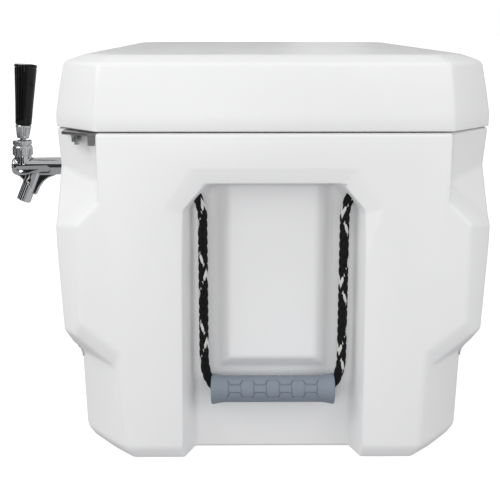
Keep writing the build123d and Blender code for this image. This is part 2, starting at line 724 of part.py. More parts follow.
def build_nodes():
    outside, inside = chest_form(), chest_form(SKIN)
    lid_outside, lid_inside = lid_form(), lid_form(SKIN)
    wall = inner_wall_y()
    routes = hose_routes()
    nodes = {
        "body_shell": body_shell(outside, inside),
        "body_liner": body_liner(inside),
        "body_foam": body_foam(inside),
        "hinge_body_leaves": both(hinge_body_leaf),
        "hinge_pins": both(hinge_pin),
        "hinge_body_screws": screws(BODY_SCREWS, 1.8),
        "latch_keepers": both(latch_keeper),
        "lock_plates": both(lock_plate),
        "lock_plate_bolts": both(lock_bolt),
        "lock_plate_nuts": both(lock_nut),
        "lock_plate_screws": screws(plate_screw_places(), 0),
        "rope_anchors": rope_anchors(-1) + rope_anchors(1),
        "tap_shank": tap_shank(),
        "tap_flange_gasket": ring(-1, HALF_W, HALF_W + 2, 21, SHANK_R),
        "tap_flange": ring(-1, HALF_W + 2, HALF_W + 7, 22.5, SHANK_R),
        "tap_wall_washer": ring(-1, wall - 2, wall, 18, SHANK_R),
        "tap_wall_nut": hex_nut(-1, wall - 12, wall - 2, 32, SHANK_R),
        "tap_coupling_nut": coupling_nut(),
        "tap_body": tap_body(),
        "tap_bonnet": tap_bonnet(),
        "tap_ball_washer": ball_washer(),
        "tap_tailpiece": tailpiece(-1),
        "tap_beer_nut": beer_nut(-1),
        "inlet_shank": inlet_shank(),
        "inlet_gasket": ring(1, HALF_W, HALF_W + 2, 18, SHANK_R),
        "inlet_outer_nut": hex_nut(1, HALF_W + 2, HALF_W + 9, 32, SHANK_R),
        "inlet_wall_washer": ring(1, wall - 2, wall, 18, SHANK_R),
        "inlet_wall_nut": hex_nut(1, wall - 12, wall - 2, 32, SHANK_R),
        "inlet_tailpiece": tailpiece(1),
        "inlet_beer_nut": beer_nut(1),
        "chilling_coil": chilling_coil(),
        "coil_rack": coil_rack(),
        "outlet_hose": hose(routes[0]),
        "inlet_hose": hose(routes[1]),
        "hose_clamps": hose_clamps(routes),
        "drain_spigot": drain_spigot(),
        "drain_gasket": drain_gasket(),
        "drain_nut": drain_nut(),
        "drain_cap": drain_cap(),
        "lid_shell": lid_shell(lid_outside, lid_inside),
        "lid_foam": lid_foam(lid_inside),
        "lid_liner": lid_liner(lid_inside),
        "lid_gasket": gasket_ring(),
        "hinge_lid_leaves": both(hinge_lid_leaf, lid_outside),
        "hinge_lid_screws": screws(LID_SCREWS, 1.8),
        "latch_pins": both(latch_pin),
        "latch_strap_left": latch_strap(-1),
        "latch_strap_right": latch_strap(1),
        "handle_rope_near": handle_rope(1),
        "handle_grip_near": handle_grip(1),
        "handle_rope_far": handle_rope(-1),
        "handle_grip_far": handle_grip(-1),
        "lever_rod": lever_rod(),
        "lever_ferrule": lever_ferrule(),
        "tap_knob": tap_knob(),
        "valve_rod": valve_rod(),
        "valve_seat_washer": ring(-1, 271.5, 275.7, 8.2, VALVE_R),
    }
    return nodes


def main():
    os.makedirs("parts", exist_ok=True)
    for name, shape in build_nodes().items():
        solids = shape if isinstance(shape, list) else [shape]
        pieces = [solid for item in solids for solid in item.solids()]
        export_step(Compound(children=pieces) if len(pieces) > 1 else pieces[0], f"parts/{name}.step")


main()
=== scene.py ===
import math
import bpy
from mathutils import Matrix, Vector


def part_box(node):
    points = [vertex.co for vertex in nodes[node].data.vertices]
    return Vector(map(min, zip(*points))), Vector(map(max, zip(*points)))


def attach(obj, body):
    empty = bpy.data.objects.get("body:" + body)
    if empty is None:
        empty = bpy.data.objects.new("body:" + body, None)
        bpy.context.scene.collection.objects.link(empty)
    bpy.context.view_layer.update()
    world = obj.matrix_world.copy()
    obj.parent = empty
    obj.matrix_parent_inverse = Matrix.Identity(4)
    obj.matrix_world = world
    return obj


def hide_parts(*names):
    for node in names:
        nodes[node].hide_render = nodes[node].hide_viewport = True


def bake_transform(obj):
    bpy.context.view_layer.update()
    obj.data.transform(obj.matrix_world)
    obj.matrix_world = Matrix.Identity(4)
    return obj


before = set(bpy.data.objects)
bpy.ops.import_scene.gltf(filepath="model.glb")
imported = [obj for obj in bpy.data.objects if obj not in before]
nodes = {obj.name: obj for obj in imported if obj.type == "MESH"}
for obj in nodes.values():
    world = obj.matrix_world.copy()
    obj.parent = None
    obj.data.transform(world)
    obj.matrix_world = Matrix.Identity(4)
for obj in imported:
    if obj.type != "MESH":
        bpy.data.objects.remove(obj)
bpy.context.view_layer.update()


# ---- the chest's outer moulding --------------------------------------------------------------
# One hollow moulding of white polyethylene, about 4 mm thick, made in a two-part metal tool.
# Its walls are flat facets with softly rounded edges, and the finish is a fine satin grain.
END_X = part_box("body_shell")[1].x           # half the chest's length
SIDE_Y = -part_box("body_shell")[0].y         # half its depth
RIM_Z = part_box("body_shell")[1].z
LID_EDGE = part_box("lid_shell")[0].z
WALL = 0.004
SOFT_EDGE = 0.004


def take(piece):
    """Make one piece the only one selected, and the active one."""
    bpy.ops.object.select_all(action="DESELECT")
    piece.select_set(True)
    bpy.context.view_layer.objects.active = piece


def settle(piece):
    """Put a piece's place, turn and scale into its mesh."""
    take(piece)
    bpy.ops.object.transform_apply(location=True, rotation=True, scale=True)
    return piece


def block(name, low, high):
    """A block between two opposite corners, ready to be cut to shape."""
    bpy.ops.object.select_all(action="DESELECT")
    centre = [(a + b) / 2 for a, b in zip(low, high)]
    size = [b - a for a, b in zip(low, high)]
    bpy.ops.mesh.primitive_cube_add(size=1, location=centre, scale=size)
    bpy.context.object.name = name
    return settle(bpy.context.object)


def trim(piece, point, normal):
    """Saw a block along a plane, drop what is outside and close the cut."""
    take(piece)
    bpy.ops.object.mode_set(mode="EDIT")
    bpy.ops.mesh.select_all(action="SELECT")
    plane_no = Vector(normal).normalized()
    bpy.ops.mesh.bisect(plane_co=point, plane_no=plane_no, use_fill=True, clear_outer=True)
    bpy.ops.object.mode_set(mode="OBJECT")


def trim_through(piece, a, b, c, inside):
    """Saw a block along the plane through three points, keeping the side that holds inside."""
    a, b, c = Vector(a), Vector(b), Vector(c)
    normal = (b - a).cross(c - a)
    if normal.dot(Vector(inside) - a) > 0:
        normal = -normal
    trim(piece, a, normal)


def finish_with(piece, kind, **settings):
    """Add one modifier to a piece, set it and apply it."""
    take(piece)
    modifier = piece.modifiers.new("finish", kind)
    for setting, value in settings.items():
        setattr(modifier, setting, value)
    bpy.ops.object.modifier_apply(modifier=modifier.name)


def carve(piece, *tools, operation="DIFFERENCE"):
    """Cut tools out of a piece, or weld them to it, and throw the tools away."""
    for tool in tools:
        finish_with(piece, "BOOLEAN", object=tool, operation=operation, solver="EXACT")
        bpy.data.objects.remove(tool)


def corner(sx, sy, depth, across, z):
    """A place near one of the chest's upright corners, by its depth in from the end face."""
    return (sx * (END_X - depth / 1000), sy * across / 1000, z / 1000)


def facing(sx, sy, in_depth, across, up):
    """The way a corner facet faces."""
    return (-sx * in_depth, sy * across, up)


def pick_faces(piece, test):
    """Select only the faces whose centre and normal pass a test."""
    take(piece)
    bpy.context.tool_settings.mesh_select_mode = (False, False, True)
    bpy.ops.object.mode_set(mode="EDIT")
    bpy.ops.mesh.select_all(action="DESELECT")
    bpy.ops.object.mode_set(mode="OBJECT")
    for face in piece.data.polygons:
        face.select = test(face.center, face.normal)
    bpy.ops.object.mode_set(mode="EDIT")


def smooth(piece, degrees=30):
    """Shade a piece smooth, apart from its edges that are sharper than this."""
    take(piece)
    bpy.ops.object.shade_smooth_by_angle(angle=math.radians(degrees))


def clean(piece, distance=0.00002):
    """Merge doubled points and dissolve the lines across flat faces."""
    take(piece)
    bpy.ops.object.mode_set(mode="EDIT")
    bpy.ops.mesh.select_all(action="SELECT")
    bpy.ops.mesh.remove_doubles(threshold=distance)
    bpy.ops.mesh.dissolve_limited(angle_limit=math.radians(0.5))
    bpy.ops.object.mode_set(mode="OBJECT")


def moulded_plastic(name, colour, roughness, grain=3200.0, relief=0.05, marks=0.04):
    """Satin moulded plastic: a fine pebbled grain, faint flow shading and light scuffs."""
    material = bpy.data.materials.new(name)
    material.use_nodes = True
    tree, links = material.node_tree, material.node_tree.links
    shader = tree.nodes["Principled BSDF"]
    shader.inputs["Specular IOR Level"].default_value = 0.45
    place = tree.nodes.new("ShaderNodeTexCoord")
    flow = tree.nodes.new("ShaderNodeTexNoise")
    flow.inputs["Scale"].default_value = 5.0
    flow.inputs["Detail"].default_value = 3.0
    links.new(place.outputs["Object"], flow.inputs["Vector"])
    tint = tree.nodes.new("ShaderNodeValToRGB")
    tint.color_ramp.elements[0].position, tint.color_ramp.elements[1].position = 0.3, 0.7
    tint.color_ramp.elements[0].color = (*[c * 0.975 for c in colour], 1)
    tint.color_ramp.elements[1].color = (*[min(1, c * 1.01) for c in colour], 1)
    links.new(flow.outputs["Fac"], tint.inputs["Fac"])
    scuff = tree.nodes.new("ShaderNodeTexNoise")
    scuff.inputs["Scale"].default_value = 30.0
    scuff.inputs["Detail"].default_value = 8.0
    scuff.inputs["Distortion"].default_value = 1.5
    links.new(place.outputs["Object"], scuff.inputs["Vector"])
    worn = tree.nodes.new("ShaderNodeMapRange")
    worn.inputs["From Min"].default_value, worn.inputs["From Max"].default_value = 0.45, 0.75
    worn.inputs["To Min"].default_value = roughness - marks
    worn.inputs["To Max"].default_value = roughness + 2 * marks
    links.new(scuff.outputs["Fac"], worn.inputs["Value"])
    pebble = tree.nodes.new("ShaderNodeTexNoise")
    pebble.inputs["Scale"].default_value = grain
    pebble.inputs["Detail"].default_value = 1.0
    links.new(place.outputs["Object"], pebble.inputs["Vector"])
    bump = tree.nodes.new("ShaderNodeBump")
    bump.inputs["Strength"].default_value = relief
    bump.inputs["Distance"].default_value = 0.0003
    links.new(pebble.outputs["Fac"], bump.inputs["Height"])
    links.new(tint.outputs["Color"], shader.inputs["Base Color"])
    links.new(worn.outputs["Result"], shader.inputs["Roughness"])
    links.new(bump.outputs["Normal"], shader.inputs["Normal"])
    return material


def paint(piece, material):
    """Give a piece one material all over."""
    piece.data.materials.clear()
    piece.data.materials.append(material)


white_plastic = moulded_plastic("white_plastic", (0.86, 0.862, 0.865), 0.42)

moulding = block("chest_moulding", (-END_X, -SIDE_Y, 0.060), (END_X, SIDE_Y, RIM_Z))
for sy in (-1, 1):
    trim(moulding, (0, sy * SIDE_Y, 0.236), (0, sy * 116, -6))
    trim(moulding, (0, sy * 0.2225, 0.120), (0, sy * 12, -8.5))
plinth = block("plinth", (-END_X, -0.2135, 0), (END_X, 0.2135, 0.125))
for sx in (-1, 1):
    trim(plinth, (sx * END_X, 0, 0.0154), (sx * 15.4, 0, -8))
for sy in (-1, 1):
    trim(plinth, (0, sy * 0.213, 0.125), (0, sy * 109.6, -3))
    trim(plinth, (0, sy * 0.210, 0.0154), (0, sy * 15.4, -8))
for sx, sy in ((-1, -1), (-1, 1), (1, -1), (1, 1)):
    trim(moulding, corner(sx, sy, 0, 203, 0), facing(sx, sy, -1.02, 1, 0))
    trim(moulding, corner(sx, sy, 0, 162.5, 123.8), facing(sx, sy, -0.915, 0.254, -0.313))
    trim(moulding, corner(sx, sy, 8, 181.7, 116), facing(sx, sy, -0.449, 0.578, -0.681))
    trim(plinth, corner(sx, sy, 0, 162, 125), facing(sx, sy, -23, 25, -0.68))
    trim(plinth, corner(sx, sy, 25, 185, 125), facing(sx, sy, -28, 37, -1.01))
    trim(plinth, corner(sx, sy, 0, 159, 15.4), facing(sx, sy, -23, 25, -24.9))
    trim(plinth, corner(sx, sy, 25, 182, 15.4), facing(sx, sy, -28, 37, -33.8))
carve(moulding, plinth, operation="UNION")


def notch_tool(sx, sy, grow=0.0):
    """The space of one corner notch: a leaning back wall over two sloping floors."""
    low_x, high_x = sorted((sx * (END_X - 0.120), sx * (END_X + 0.020)))
    low_y, high_y = sorted((sy * (0.180 - grow), sy * (SIDE_Y + 0.020)))
    notch = block("notch", (low_x, low_y, 0.235), (high_x, high_y, 0.400))
    walls = [((57, 228.5, 357), (0.675, -0.708, 0.21)), ((27.4, 184, 302), (0.515, -0.593, -0.62))]
    walls.append(((0, 157, 293), (0.686, -0.528, -0.501)))
    for place, way in walls:
        out = Vector(facing(sx, sy, *way)).normalized()
        trim(notch, Vector(corner(sx, sy, *place)) + out * grow, out)
    return notch


for sx, sy in ((-1, -1), (-1, 1), (1, -1), (1, 1)):
    carve(moulding, notch_tool(sx, sy))


def well(name, sx, near, far, near_depth, far_depth, floor_z):
    """A tapered well with a trapezoid head: half outlines where it starts and where it ends."""
    low_x, high_x = sorted((sx * (END_X - near_depth), sx * (END_X - far_depth)))
    reach = max(y for y, z in near + far) / 1000 + 0.001
    top = max(z for y, z in near + far) / 1000 + 0.001
    shape = block(name, (low_x, -reach, floor_z), (high_x, reach, top))
    inside = (sx * (END_X - (near_depth + far_depth) / 2), 0, 0.2)
    at_near = [(y / 1000, z / 1000) for y, z in near]
    at_far = [(y / 1000, z / 1000) for y, z in far]
    near_x, far_x = sx * (END_X - near_depth), sx * (END_X - far_depth)
    for i in range(len(near) - 1):
        for sy in (-1, 1):
            a = (near_x, sy * at_near[i][0], at_near[i][1])
            b = (near_x, sy * at_near[i + 1][0], at_near[i + 1][1])
            c = (far_x, sy * at_far[i + 1][0], at_far[i + 1][1])
            trim_through(shape, a, b, c, inside)
    a, b = (near_x, -0.05, at_near[-1][1]), (near_x, 0.05, at_near[-1][1])
    trim_through(shape, a, b, (far_x, 0, at_far[-1][1]), inside)
    return shape


for sx in (-1, 1):
    well_mouth, well_floor = [(98, -20), (95, 276), (71, 304.5)], [(86, -20), (82, 270), (62, 299)]
    dish_edge, dish_floor = [(94, 215), (116, 281), (87, 323)], [(90, 215), (91, 273), (68, 301.5)]
    carve(moulding, well("well", sx, well_mouth, well_floor, -0.0005, 0.036, -0.020))
    carve(moulding, well("dish", sx, dish_edge, dish_floor, -0.0005, 0.0035, 0.215))
    low_x, high_x = sorted((sx * (END_X - 0.040), sx * (END_X - 0.023)))
    panel = block("panel", (low_x, -0.060, 0.096), (high_x, 0.060, 0.3015))
    for sy in (-1, 1):
        trim(panel, (sx * (END_X - 0.023), sy * 0.046, 0), (sx * 14, sy * 13, 0))
    trim(panel, (sx * (END_X - 0.023), 0, 0.110), (sx * 14, 0, -13))
    carve(moulding, panel, operation="UNION")
for side in (-1, 1):
    low, high = (side * 0.190 - 0.032, -0.240, 0.288), (side * 0.190 + 0.032, -SIDE_Y + 0.015, 0.370)
    carve(moulding, block("latch_recess", low, high))


def round_bar(name, start, end, radius, sides=32):
    """A round bar between two points, as a tool or as the start of a piece."""
    start, end = Vector(start), Vector(end)
    turn = (end - start).to_track_quat("Z", "Y").to_euler()
    bpy.ops.object.select_all(action="DESELECT")
    bpy.ops.mesh.primitive_cylinder_add(vertices=sides, radius=radius, depth=(end - start).length,
                                        location=(start + end) / 2, rotation=turn)
    bpy.context.object.name = name
    return settle(bpy.context.object)


drain = (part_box("drain_gasket")[0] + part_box("drain_gasket")[1]) / 2
clean(moulding)


def soften(piece, width, weight_at, least=7, segments=3):
    """Round a piece's edges. Each edge sharper than least gets its own share of the width."""
    faces_at = {}
    for face in piece.data.polygons:
        for key in face.edge_keys:
            faces_at.setdefault(key, []).append(face.normal)
    shares = piece.data.attributes.new("bevel_weight_edge", "FLOAT", "EDGE")
    points = piece.data.vertices
    for edge in piece.data.edges:
        sides = faces_at.get(tuple(sorted(edge.vertices)), [])
        sharp = len(sides) == 2 and sides[0].angle(sides[1], 0) > math.radians(least)
        middle = (points[edge.vertices[0]].co + points[edge.vertices[1]].co) / 2
        shares.data[edge.index].value = weight_at(middle) if sharp else 0.0
    finish_with(piece, "BEVEL", width=width, segments=segments, limit_method="WEIGHT",
                use_clamp_overlap=False)


def moulding_edge(at):
    """The pocket's dished frame has tighter edges than the facets."""
    in_frame = abs(at.x) > END_X - 0.005 and abs(at.y) < 0.118 and 0.10 < at.z < 0.33
    return 0.35 if in_frame else 1.0


soften(moulding, SOFT_EDGE, moulding_edge)
DRAIN_R = 0.021
drain_mouth, drain_floor = (-END_X - 0.0003, drain.y, drain.z), (drain.x + 0.00075, drain.y, drain.z)
carve(moulding, round_bar("drain_well", drain_mouth, drain_floor, DRAIN_R, 64))
flare_at = (-END_X + 0.0002, drain.y, drain.z)
bpy.ops.mesh.primitive_cone_add(vertices=64, radius1=DRAIN_R, radius2=DRAIN_R + 0.0015, depth=0.0016,
                                location=flare_at, rotation=(0, -math.pi / 2, 0))
carve(moulding, settle(bpy.context.object))
pick_faces(moulding, lambda at, facing_way: at.z > RIM_Z - 0.0002 and facing_way.z > 0.99)
bpy.ops.mesh.inset(thickness=0.0012)
bpy.ops.mesh.delete(type="FACE")
bpy.ops.object.mode_set(mode="OBJECT")
finish_with(moulding, "SOLIDIFY", thickness=WALL, offset=-1)
smooth(moulding, 35)
paint(moulding, white_plastic)
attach(moulding, "chest")
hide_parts("body_shell")


# ---- the tub liner ---------------------------------------------------------------------------
# The inner moulding: a draughted tub with rounded corners, in the same white polyethylene,
# whose flat rim closes the wall between the two mouldings over the poured foam core.
LINER_WALL = 0.003
RIM_PLATE = 0.003


def tub_form(name, grow=0.0):
    """The tub's inside as a solid, with its upright and floor corners rounded."""
    shape = block(name, (-0.298, -0.176, 0.070), (0.298, 0.176, RIM_Z + 0.001))
    for way in (-1, 1):
        trim(shape, (way * 0.298, 0, RIM_Z), (way * 285.6, 0, -10))
        trim(shape, (0, way * 0.176, RIM_Z), (0, way * 285.6, -10))
    soften(shape, 0.026, lambda at: 0.0 if at.z > RIM_Z else (0.5 if at.z < 0.071 else 1.0), segments=6)
    return shape


liner = tub_form("tub_liner")
pick_faces(liner, lambda at, facing_way: at.z > RIM_Z)
bpy.ops.mesh.delete(type="FACE")
bpy.ops.object.mode_set(mode="OBJECT")
finish_with(liner, "SOLIDIFY", thickness=LINER_WALL, offset=1)
trim(liner, (0, 0, RIM_Z - RIM_PLATE), (0, 0, 1))
rim_low = (-END_X + WALL, -SIDE_Y + WALL, RIM_Z - RIM_PLATE)
rim = block("rim_plate", rim_low, (END_X - WALL, SIDE_Y - WALL, RIM_Z - 0.0001))
for sx, sy in ((-1, -1), (-1, 1), (1, -1), (1, 1)):
    carve(rim, notch_tool(sx, sy, WALL))
carve(rim, tub_form("tub_mouth"))
take(liner)
rim.select_set(True)
bpy.ops.object.join()
smooth(liner, 35)
liner_plastic = moulded_plastic("liner_plastic", (0.83, 0.835, 0.84), 0.38, grain=2600.0)
paint(liner, liner_plastic)
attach(liner, "chest")
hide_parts("body_liner")

# ---- the foam cores --------------------------------------------------------------------------
# Rigid polyurethane foam, poured between the mouldings of the chest and of the lid. It never
# shows, and fills every corner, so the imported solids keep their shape.
foam = bpy.data.materials.new("poured_foam")
foam.use_nodes = True
foam_shader = foam.node_tree.nodes["Principled BSDF"]
foam_shader.inputs["Roughness"].default_value = 0.9
cells = foam.node_tree.nodes.new("ShaderNodeTexVoronoi")
cells.inputs["Scale"].default_value = 900.0
foam_place = foam.node_tree.nodes.new("ShaderNodeTexCoord")
foam.node_tree.links.new(foam_place.outputs["Object"], cells.inputs["Vector"])
foam_tint = foam.node_tree.nodes.new("ShaderNodeValToRGB")
foam_tint.color_ramp.elements[0].color = (0.80, 0.70, 0.45, 1)
foam_tint.color_ramp.elements[1].color = (0.93, 0.87, 0.68, 1)
foam.node_tree.links.new(cells.outputs["Distance"], foam_tint.inputs["Fac"])
foam.node_tree.links.new(foam_tint.outputs["Color"], foam_shader.inputs["Base Color"])
foam_bump = foam.node_tree.nodes.new("ShaderNodeBump")
foam_bump.inputs["Distance"].default_value = 0.0004
foam.node_tree.links.new(cells.outputs["Distance"], foam_bump.inputs["Height"])
foam.node_tree.links.new(foam_bump.outputs["Normal"], foam_shader.inputs["Normal"])
for node in ("body_foam", "lid_foam"):
    paint(nodes[node], foam)

# ---- the metal finishes and small hardware ---------------------------------------------------
# Stainless pressings, screws and bolts, brushed lengthways, and turned steel fittings. Their
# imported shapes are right, so they are only given a softened edge and their finish.


def metal(name, colour, roughness, brushing=(1.0, 1.0, 1.0), relief=0.1, scale=700.0):
    """Bare metal: brushed or turned lines, patches of wear and fine pits."""
    material = bpy.data.materials.new(name)
    material.use_nodes = True
    tree, links = material.node_tree, material.node_tree.links
    shader = tree.nodes["Principled BSDF"]
    shader.inputs["Metallic"].default_value = 1.0
    place = tree.nodes.new("ShaderNodeTexCoord")
    stretch = tree.nodes.new("ShaderNodeMapping")
    stretch.inputs["Scale"].default_value = brushing
    links.new(place.outputs["Object"], stretch.inputs["Vector"])
    lines = tree.nodes.new("ShaderNodeTexNoise")
    lines.inputs["Scale"].default_value = scale
    lines.inputs["Detail"].default_value = 4.0
    links.new(stretch.outputs["Vector"], lines.inputs["Vector"])
    patches = tree.nodes.new("ShaderNodeTexNoise")
    patches.inputs["Scale"].default_value = 60.0
    patches.inputs["Detail"].default_value = 5.0
    links.new(place.outputs["Object"], patches.inputs["Vector"])
    worn = tree.nodes.new("ShaderNodeMapRange")
    worn.inputs["To Min"].default_value = roughness * 0.7
    worn.inputs["To Max"].default_value = roughness * 1.4
    links.new(patches.outputs["Fac"], worn.inputs["Value"])
    tint = tree.nodes.new("ShaderNodeValToRGB")
    tint.color_ramp.elements[0].color = (*[c * 0.88 for c in colour], 1)
    tint.color_ramp.elements[1].color = (*[min(1.0, c * 1.08) for c in colour], 1)
    links.new(patches.outputs["Fac"], tint.inputs["Fac"])
    bump = tree.nodes.new("ShaderNodeBump")
    bump.inputs["Strength"].default_value = relief
    bump.inputs["Distance"].default_value = 0.0002
    links.new(lines.outputs["Fac"], bump.inputs["Height"])
    links.new(tint.outputs["Color"], shader.inputs["Base Color"])
    links.new(worn.outputs["Result"], shader.inputs["Roughness"])
    links.new(bump.outputs["Normal"], shader.inputs["Normal"])
    return material


def copy_of(node, name):
    """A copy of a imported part, with its doubled points merged, to be finished as a new piece."""
    take(nodes[node])
    bpy.ops.object.duplicate()
    piece = bpy.context.object
    for key in list(piece.keys()):
        del piece[key]
    piece.parent = None
    piece.name = name
    clean(piece)
    return piece


def softened(node, name, body, material, width=0.0006, segments=2, least=25):
    """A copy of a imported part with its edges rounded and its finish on, standing for it."""
    piece = copy_of(node, name)
    finish_with(piece, "BEVEL", width=width, segments=segments, limit_method="ANGLE",
                angle_limit=math.radians(least), use_clamp_overlap=True)
    smooth(piece, 32)
    paint(piece, material)
    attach(piece, body)
    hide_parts(node)
    return piece


brushed_steel = metal("brushed_steel", (0.36, 0.36, 0.36), 0.30, brushing=(0.06, 1.0, 1.0), relief=0.25)
turned_steel = metal("turned_steel", (0.50, 0.50, 0.50), 0.26, brushing=(1.0, 0.1, 1.0))
softened("lock_plates", "corner_lock_plates", "chest", brushed_steel)
softened("lock_plate_nuts", "corner_lock_nuts", "chest", turned_steel, width=0.0005)
softened("lock_plate_bolts", "corner_lock_bolts", "chest", turned_steel, width=0.0004)
for node in ("lock_plate_screws", "hinge_pins", "hinge_body_screws", "hinge_lid_screws", "latch_pins",
             "tap_wall_washer", "inlet_wall_washer", "hose_clamps", "lever_rod", "valve_rod"):
    paint(nodes[node], turned_steel)
    smooth(nodes[node], 40)
for node in ("tap_wall_nut", "inlet_outer_nut", "inlet_wall_nut", "inlet_beer_nut", "inlet_shank",
             "inlet_tailpiece", "tap_tailpiece"):
    softened(node, node + "_finished", "chest", turned_steel, width=0.0007)
coil_steel = metal("drawn_tube_steel", (0.64, 0.64, 0.63), 0.2, brushing=(1.0, 1.0, 0.05), relief=0.06)
paint(nodes["coil_rack"], coil_steel)
smooth(nodes["coil_rack"], 40)
coil = copy_of("chilling_coil", "wound_coil")
finish_with(coil, "DECIMATE", ratio=0.6)
smooth(coil, 60)
paint(coil, coil_steel)
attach(coil, "chest")
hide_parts("chilling_coil")

# ---- hinges and latch keepers ----------------------------------------------------------------
# Glass-filled nylon mouldings, screwed to the chest and the lid; white, with a coarser grain
# than the chest. The knuckles run on a steel pin.
hinge_nylon = moulded_plastic("hinge_nylon", (0.74, 0.745, 0.75), 0.5, grain=1800.0, relief=0.12)
softened("hinge_body_leaves", "chest_hinge_leaves", "chest", hinge_nylon, width=0.0012)
softened("hinge_lid_leaves", "lid_hinge_leaves", "lid", hinge_nylon, width=0.0012)
paint(nodes["latch_keepers"], hinge_nylon)
softened("drain_spigot", "drain_spigot_moulding", "chest", hinge_nylon, width=0.0007)
softened("drain_nut", "drain_lock_nut", "chest", hinge_nylon, width=0.0012)
softened("drain_cap", "drain_screw_cap", "drain_cap", hinge_nylon, width=0.0012)

# ---- rubber straps, gaskets and washers ------------------------------------------------------
# Black moulded rubber with a dull bloom: the two pull-down latch straps, the lid's gasket and
# the sealing washers under each fitting.
rubber = moulded_plastic("black_rubber", (0.030, 0.030, 0.032), 0.62, grain=1500.0, relief=0.15, marks=0.08)
for side in ("left", "right"):
    strap = "latch_strap_" + side
    softened(strap, strap + "_rubber", "latch_" + side, rubber, width=0.0018, segments=3)
for node in ("lid_gasket", "tap_flange_gasket", "inlet_gasket", "drain_gasket", "valve_seat_washer"):
    paint(nodes[node], rubber)
    smooth(nodes[node], 40)
washer_nylon = moulded_plastic("washer_nylon", (0.72, 0.70, 0.64), 0.4)
seat = copy_of("tap_ball_washer", "ball_seat_washer")
seat_at = (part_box("tap_ball_washer")[0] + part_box("tap_ball_washer")[1]) / 2
seat_half = Vector((0, 0, 0.005))
carve(seat, round_bar("seat_bore", seat_at - seat_half, seat_at + seat_half, 0.0058, 48))
smooth(seat, 40)
paint(seat, washer_nylon)
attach(seat, "chest")
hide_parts("tap_ball_washer")

# ---- rope handles ----------------------------------------------------------------------------
# Each handle is one length of sixteen-strand braided polyester rope, 10.5 mm thick, black with
# a white tracer strand each way. It comes out of the wall in the pocket's upper corners, where
# knots hold it, and runs through a soft moulded grip.
LEG_Y = 0.0739
GRIP_Z = (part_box("handle_grip_near")[0].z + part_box("handle_grip_near")[1].z) / 2
GRIP_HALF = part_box("handle_grip_near")[1].y
PIVOT_Z = 0.282
KNOT_Z, KNOT_Y = 0.3173, 0.0927
BRAID_PITCH = 0.075
STRANDS_EACH_WAY = 8
TWIST_STEP = 0.0016


def follow(points):
    """The smooth line of a rope or hose with these control points."""
    data = bpy.data.curves.new("route", "CURVE")
    data.dimensions, data.resolution_u = "3D", 24
    spline = data.splines.new("NURBS")
    spline.points.add(len(points) - 1)
    for point, place in zip(spline.points, points):
        point.co = (*place, 1)
    spline.order_u, spline.use_endpoint_u = 3, True
    holder = bpy.data.objects.new("route", data)
    bpy.context.scene.collection.objects.link(holder)
    line = bpy.data.meshes.new_from_object(holder.evaluated_get(bpy.context.evaluated_depsgraph_get()))
    places = [vertex.co.copy() for vertex in line.vertices]
    bpy.data.objects.remove(holder)
    bpy.data.meshes.remove(line)
    return places


def evenly(line, step):
    """Points at equal steps along a line."""
    lengths = [0.0]
    for a, b in zip(line, line[1:]):
        lengths.append(lengths[-1] + (b - a).length)
    count = max(2, round(lengths[-1] / step))
    places, at = [], 0
    for i in range(count + 1):
        along = lengths[-1] * i / count
        while at < len(line) - 2 and lengths[at + 1] < along:
            at += 1
        share = (along - lengths[at]) / max(lengths[at + 1] - lengths[at], 1e-9)
        places.append(line[at].lerp(line[at + 1], min(1.0, share)))
    return places, lengths[-1]


def frames_along(line):
    """For each point of a line, two directions square to it that don't twist along it."""
    frames, side = [], None
    for i, place in enumerate(line):
        ahead = (line[min(i + 1, len(line) - 1)] - line[max(i - 1, 0)]).normalized()
        if side is None:
            side = ahead.orthogonal().normalized()
        side = (side - ahead * side.dot(ahead)).normalized()
        frames.append((place, side, ahead.cross(side)))
    return frames


